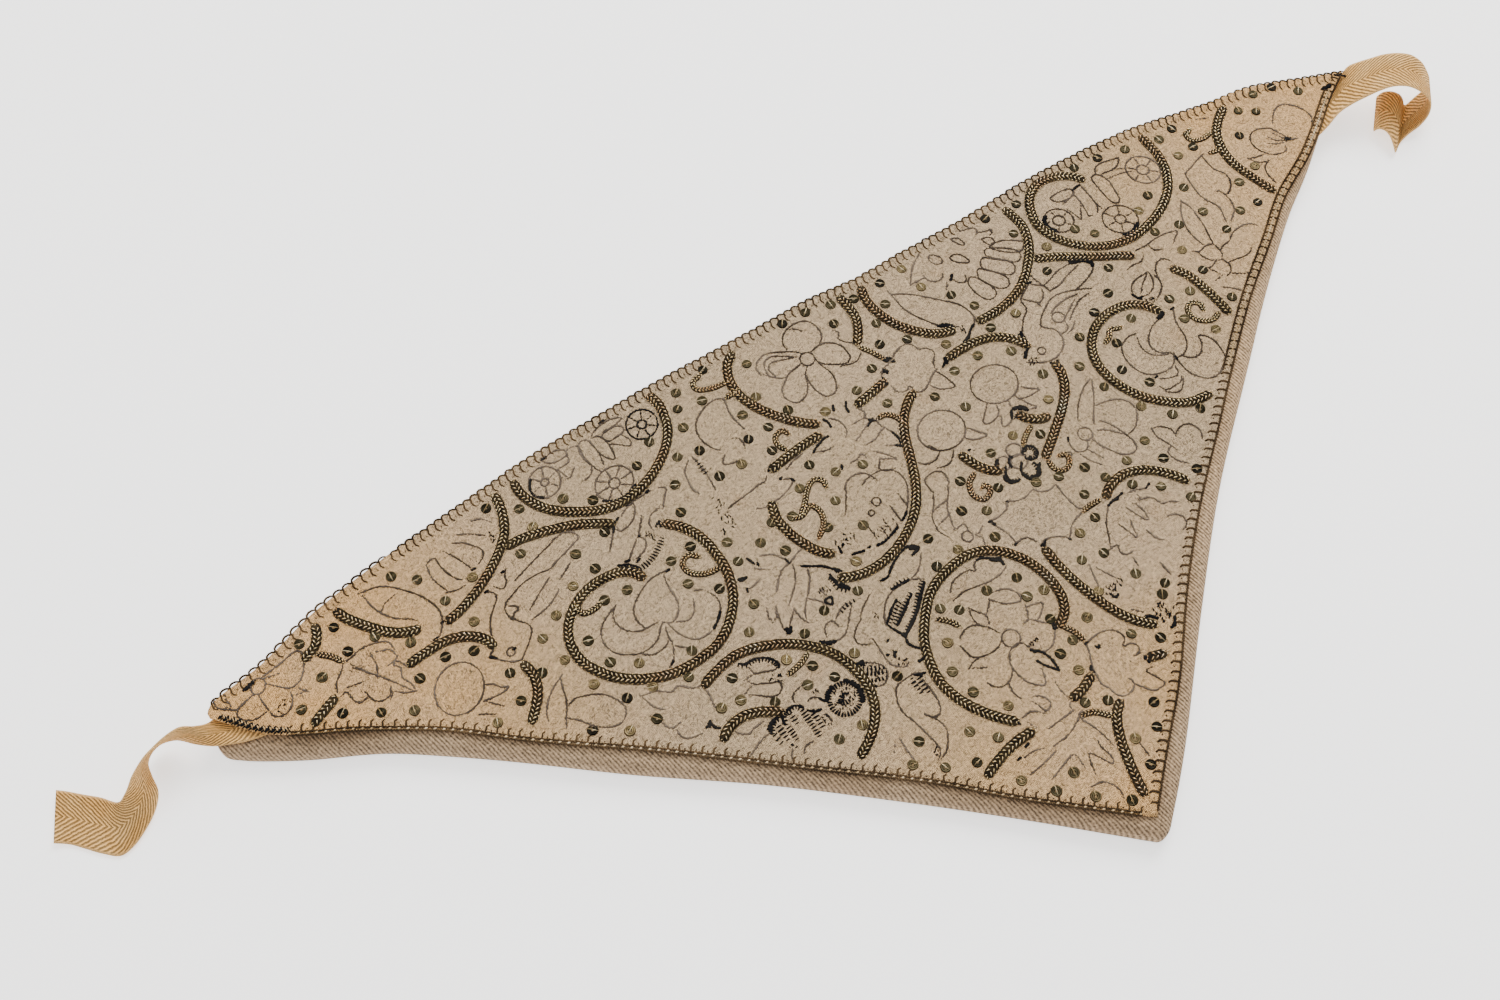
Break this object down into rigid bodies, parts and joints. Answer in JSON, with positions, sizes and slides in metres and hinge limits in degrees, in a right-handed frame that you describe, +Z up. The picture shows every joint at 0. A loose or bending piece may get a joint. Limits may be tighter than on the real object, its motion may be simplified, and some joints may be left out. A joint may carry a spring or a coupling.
{
  "type": "embroidered forehead cloth on a padded board",
  "caption": "Three-cornered linen forehead cloth with coiling raised-braid stems and tape ties, laid flat on its fabric-covered padded board.",
  "frame": {"origin": "on the underside of the board, midway between the two far tips of the cloth and 50 mm in front of the straight line between them", "axes": "+X from the left tip to the right tip, +Y from the front corner towards the long edge, +Z up"},
  "size_m": [0.51, 0.2025, 0.0183],
  "materials": {
    "linen": "matt plain weave",
    "twill": "matt twill weave",
    "gilt_braid": "tarnished plaited metal thread",
    "woven_tape": "matt herringbone tape",
    "silk": "satin silk thread"
  },
  "bodies": {
    "root": {"edging_left": "silk", "edging_long": "silk", "edging_right": "silk", "linen": "linen", "stem_berry": "gilt_braid", "stem_berry_inner": "gilt_braid", "stem_bird_right": "gilt_braid", "stem_branch_right": "gilt_braid", "stem_cloud_left": "gilt_braid", "stem_fan_right": "gilt_braid", "stem_front_cloud": "gilt_braid", "stem_front_corner": "gilt_braid", "stem_front_left": "gilt_braid", "stem_front_stub": "gilt_braid", "stem_fruit": "gilt_braid", "stem_fruit_inner": "gilt_braid", "stem_larva": "gilt_braid", "stem_left_bird": "gilt_braid", "stem_left_border": "gilt_braid", "stem_left_branch": "gilt_braid", "stem_left_bud": "gilt_braid", "stem_left_fan": "gilt_braid", "stem_left_pear": "gilt_braid", "stem_left_shell": "gilt_braid", "stem_lobed_leaf": "gilt_braid", "stem_middle_bar": "gilt_braid", "stem_middle_edge": "gilt_braid", "stem_middle_right": "gilt_braid", "stem_oak_leaf": "gilt_braid", "stem_pansy_left": "gilt_braid", "stem_pansy_right": "gilt_braid", "stem_posy": "gilt_braid", "stem_right_bud": "gilt_braid", "stem_right_long": "gilt_braid", "stem_rose": "gilt_braid", "stem_shell_right": "gilt_braid", "stem_thistle": "gilt_braid", "stem_wheels_left": "gilt_braid", "stem_wheels_right": "gilt_braid", "support_board": "twill", "tape_left": "woven_tape", "tape_right": "woven_tape"}
  },
  "joints": []
}
